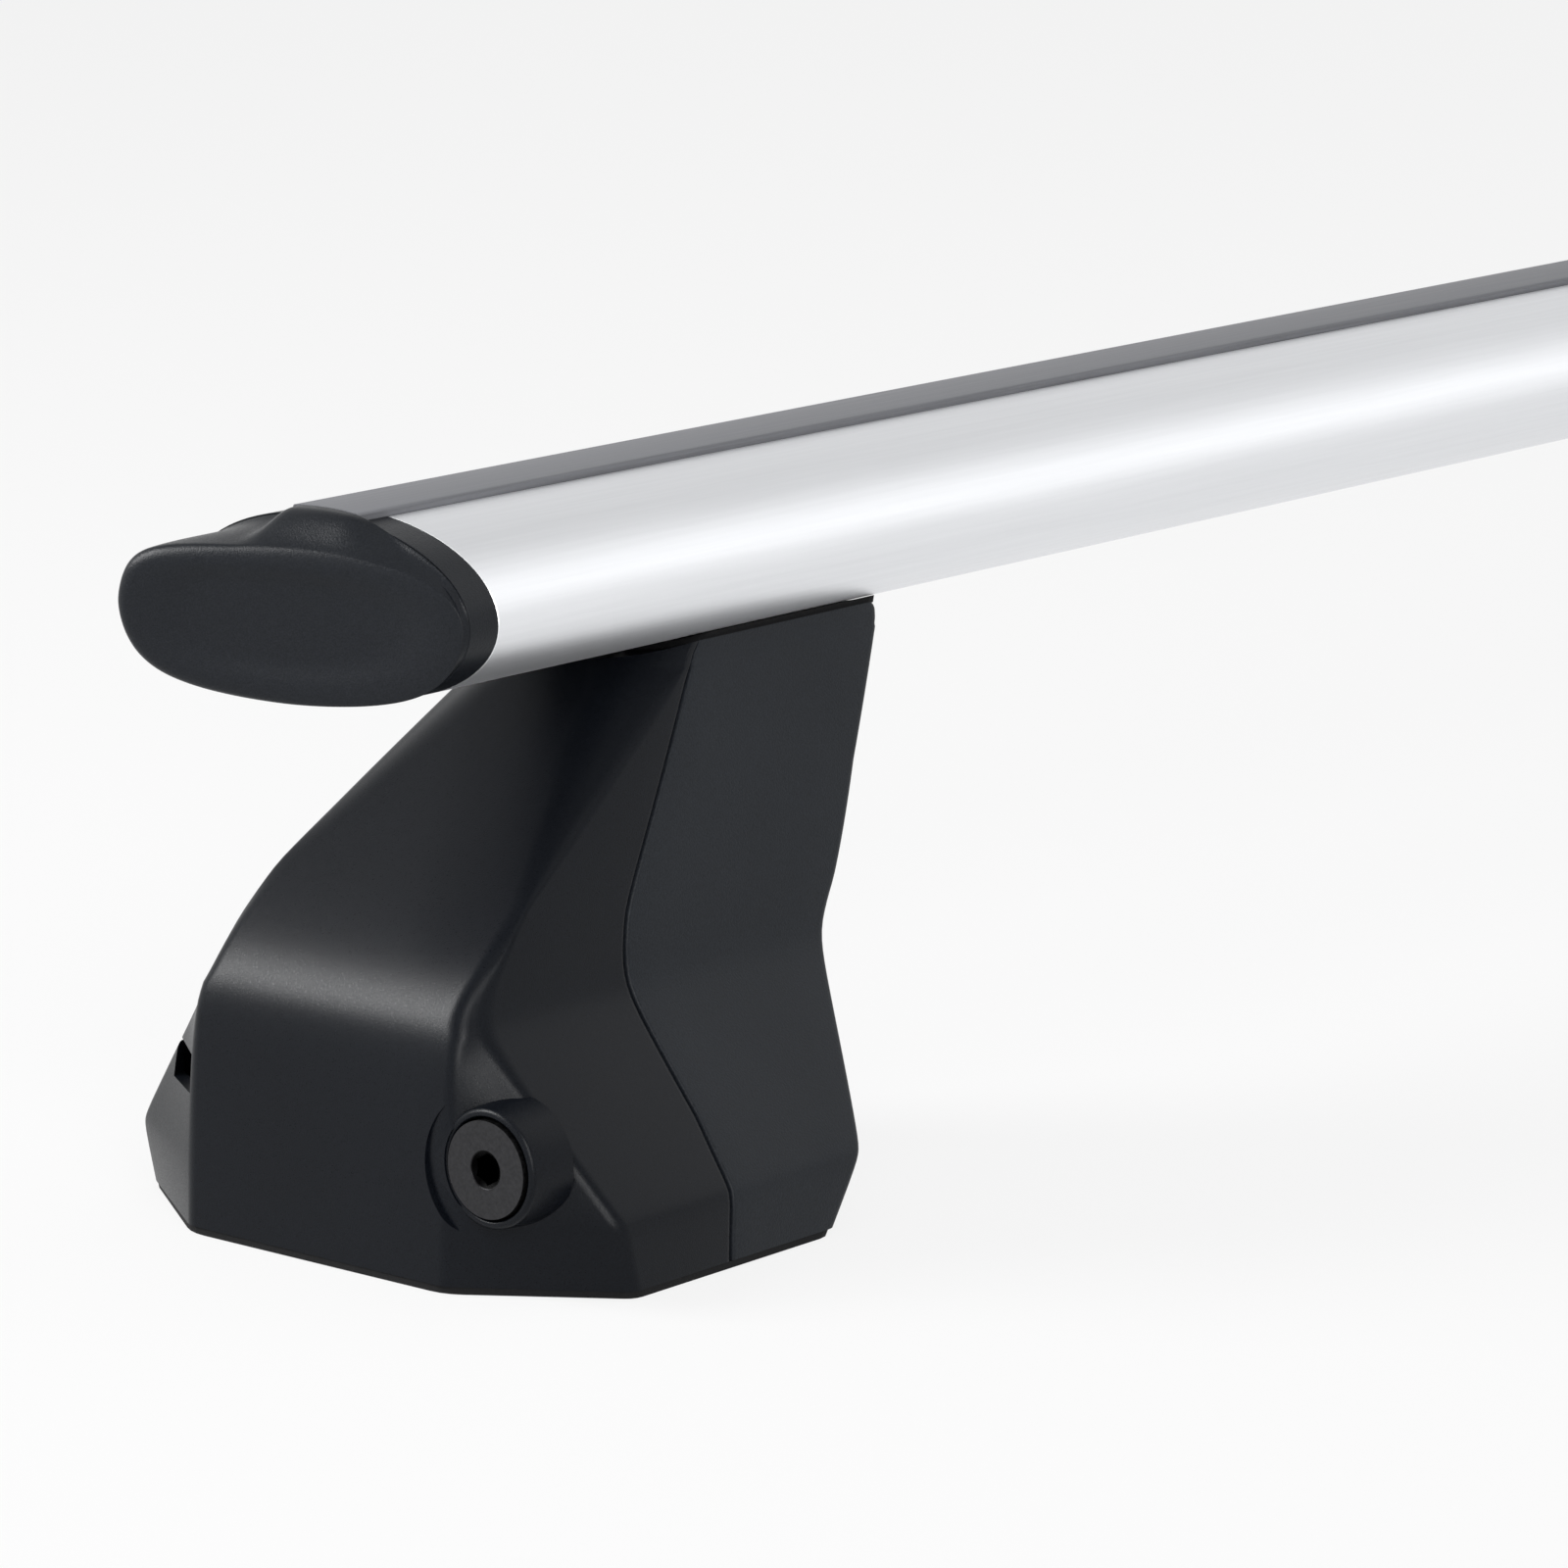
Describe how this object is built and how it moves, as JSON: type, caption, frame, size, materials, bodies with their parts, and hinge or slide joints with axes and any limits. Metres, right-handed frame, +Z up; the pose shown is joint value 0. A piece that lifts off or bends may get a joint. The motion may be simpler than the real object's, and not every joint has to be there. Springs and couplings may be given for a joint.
{
  "type": "roof rack crossbar",
  "caption": "Oval aluminium load bar with a rubber-filled top slot, slanted end caps and clamping feet for a vehicle roof.",
  "frame": {"origin": "on the ground under the middle of the bar", "axes": "+X along the bar, +Y across it, +Z up"},
  "size_m": [1.268, 0.139, 0.1602],
  "materials": {
    "anodised_aluminium": "satin anodised",
    "strip_rubber": "satin, fine lengthwise streaks",
    "cap_plastic": "fine-grained",
    "foot_plastic": "fine-grained",
    "cover_plastic": "satin",
    "pad_rubber": "matte",
    "coated_steel": "zinc-coated sheet",
    "zinc_steel": "bright zinc",
    "dark_steel": "black oxide"
  },
  "bodies": {
    "bar": {"crossbar": "anodised_aluminium", "slot_strip": "strip_rubber", "end_collar_left": "cap_plastic", "end_collar_right": "cap_plastic"},
    "foot_left": {"foot_housing_left": "foot_plastic", "saddle_gasket_left": "pad_rubber", "base_pad_left": "pad_rubber", "foot_bracket_left": "coated_steel", "bar_bolts_left": "zinc_steel", "bar_nuts_left": "zinc_steel", "bolt_spacer_left": "zinc_steel"},
    "cover_left": {"foot_cover_left": "cover_plastic"},
    "bolt_left": {"clamp_bolt_left": "dark_steel", "bolt_clip_left": "dark_steel"},
    "block_left": {"clamp_block_left": "coated_steel"},
    "cap_left": {"end_cap_left": "cap_plastic"},
    "foot_right": {"foot_housing_right": "foot_plastic", "saddle_gasket_right": "pad_rubber", "base_pad_right": "pad_rubber", "foot_bracket_right": "coated_steel", "bar_bolts_right": "zinc_steel", "bar_nuts_right": "zinc_steel", "bolt_spacer_right": "zinc_steel"},
    "cover_right": {"foot_cover_right": "cover_plastic"},
    "bolt_right": {"clamp_bolt_right": "dark_steel", "bolt_clip_right": "dark_steel"},
    "block_right": {"clamp_block_right": "coated_steel"},
    "cap_right": {"end_cap_right": "cap_plastic"}
  },
  "joints": [
    {"name": "foot_left_slide", "type": "slide", "parent": "bar", "child": "foot_left", "axis": [1, 0, 0], "range_m": [0, 0.2]},
    {"name": "cover_left_off", "type": "slide", "parent": "foot_left", "child": "cover_left", "axis": [-1, 0, 0], "range_m": [0, 0.08]},
    {"name": "bolt_left_turn", "type": "hinge", "parent": "cover_left", "child": "bolt_left", "pos_m": [-0.59, -0.0469, 0.028], "axis": [1, 0, 0], "range_deg": [0, 3605]},
    {"name": "block_left_slide", "type": "slide", "parent": "foot_left", "child": "block_left", "axis": [-1, 0, 0], "range_m": [0, 0.015]},
    {"name": "cap_left_off", "type": "slide", "parent": "bar", "child": "cap_left", "axis": [-1, 0, 0], "range_m": [0, 0.03]},
    {"name": "foot_right_slide", "type": "slide", "parent": "bar", "child": "foot_right", "axis": [-1, 0, 0], "range_m": [0, 0.2]},
    {"name": "cover_right_off", "type": "slide", "parent": "foot_right", "child": "cover_right", "axis": [1, 0, 0], "range_m": [0, 0.08]},
    {"name": "bolt_right_turn", "type": "hinge", "parent": "cover_right", "child": "bolt_right", "pos_m": [0.59, 0.0469, 0.028], "axis": [-1, 0, 0], "range_deg": [0, 3605]},
    {"name": "block_right_slide", "type": "slide", "parent": "foot_right", "child": "block_right", "axis": [1, 0, 0], "range_m": [0, 0.015]},
    {"name": "cap_right_off", "type": "slide", "parent": "bar", "child": "cap_right", "axis": [1, 0, 0], "range_m": [0, 0.03]}
  ],
  "couplings": [
    {"joint": "bolt_left_turn", "follows": "block_left_slide", "rad_per_m": 4188.8},
    {"joint": "bolt_right_turn", "follows": "block_right_slide", "rad_per_m": 4188.8}
  ]
}
